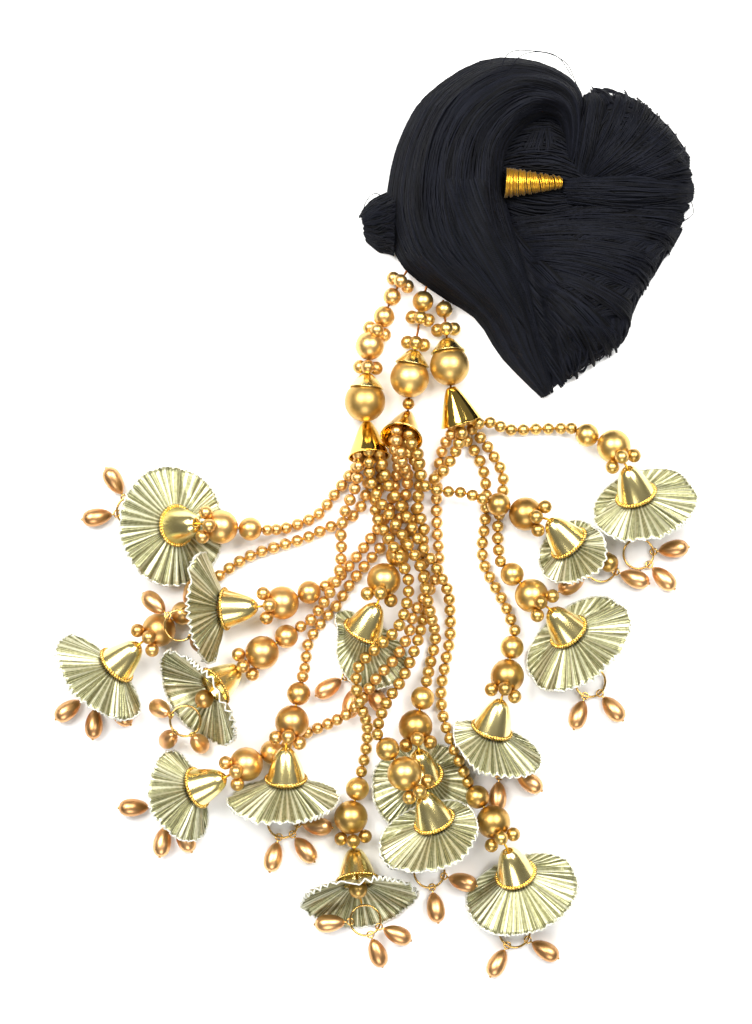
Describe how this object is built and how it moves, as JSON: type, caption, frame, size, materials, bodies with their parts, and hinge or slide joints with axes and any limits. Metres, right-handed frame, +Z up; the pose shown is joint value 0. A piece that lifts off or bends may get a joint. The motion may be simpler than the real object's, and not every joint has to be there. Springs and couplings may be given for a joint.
{
  "type": "braid tassel hair ornament",
  "caption": "Long braid tassel ornament: a looped black thread hank with gold cones and bead strings, each string ending in a bell, a pleated ribbon ruffle and a ring of drops.",
  "frame": {"origin": "middle of the foot of the box round the part as it lies on a level surface", "axes": "+Y from the tassels to the thread hank, +X to the right as seen from above, +Z up from the surface"},
  "size_m": [0.2246, 0.3208, 0.0344],
  "materials": {
    "black_thread": "twisted cotton thread",
    "gold_thread": "metallic wound thread",
    "gold_bead": "satin plated beads",
    "bead_thread": "gold thread",
    "pale_gold": "polished pale gold plate",
    "metallic_ribbon": "pleated woven metallic ribbon"
  },
  "bodies": {
    "root": {"hank_arch": "black_thread", "hank_right": "black_thread", "hank_lower": "black_thread", "hank_side": "black_thread", "hank_core": "black_thread", "gold_wrap": "gold_thread", "strand_1": "gold_bead", "strand_2": "gold_bead", "strand_3": "gold_bead", "strand_thread_1": "bead_thread", "strand_thread_2": "bead_thread", "strand_thread_3": "bead_thread", "cone_1": "pale_gold", "cone_2": "pale_gold", "cone_3": "pale_gold", "string_01": "gold_bead", "string_02": "gold_bead", "string_03": "gold_bead", "string_04": "gold_bead", "string_05": "gold_bead", "string_06": "gold_bead", "string_07": "gold_bead", "string_08": "gold_bead", "string_09": "gold_bead", "string_10": "gold_bead", "string_11": "gold_bead", "string_12": "gold_bead", "string_13": "gold_bead", "string_14": "gold_bead", "string_15": "gold_bead", "tassel_01": "gold_bead", "tassel_02": "gold_bead", "tassel_03": "gold_bead", "tassel_04": "gold_bead", "tassel_05": "gold_bead", "tassel_06": "gold_bead", "tassel_07": "gold_bead", "tassel_08": "gold_bead", "tassel_09": "gold_bead", "tassel_10": "gold_bead", "tassel_11": "gold_bead", "tassel_12": "gold_bead", "tassel_13": "gold_bead", "tassel_14": "gold_bead", "tassel_15": "gold_bead", "ruffle_01": "metallic_ribbon", "ruffle_02": "metallic_ribbon", "ruffle_03": "metallic_ribbon", "ruffle_04": "metallic_ribbon", "ruffle_05": "metallic_ribbon", "ruffle_06": "metallic_ribbon", "ruffle_07": "metallic_ribbon", "ruffle_08": "metallic_ribbon", "ruffle_09": "metallic_ribbon", "ruffle_10": "metallic_ribbon", "ruffle_11": "metallic_ribbon", "ruffle_12": "metallic_ribbon", "ruffle_13": "metallic_ribbon", "ruffle_14": "metallic_ribbon", "ruffle_15": "metallic_ribbon"}
  },
  "joints": []
}
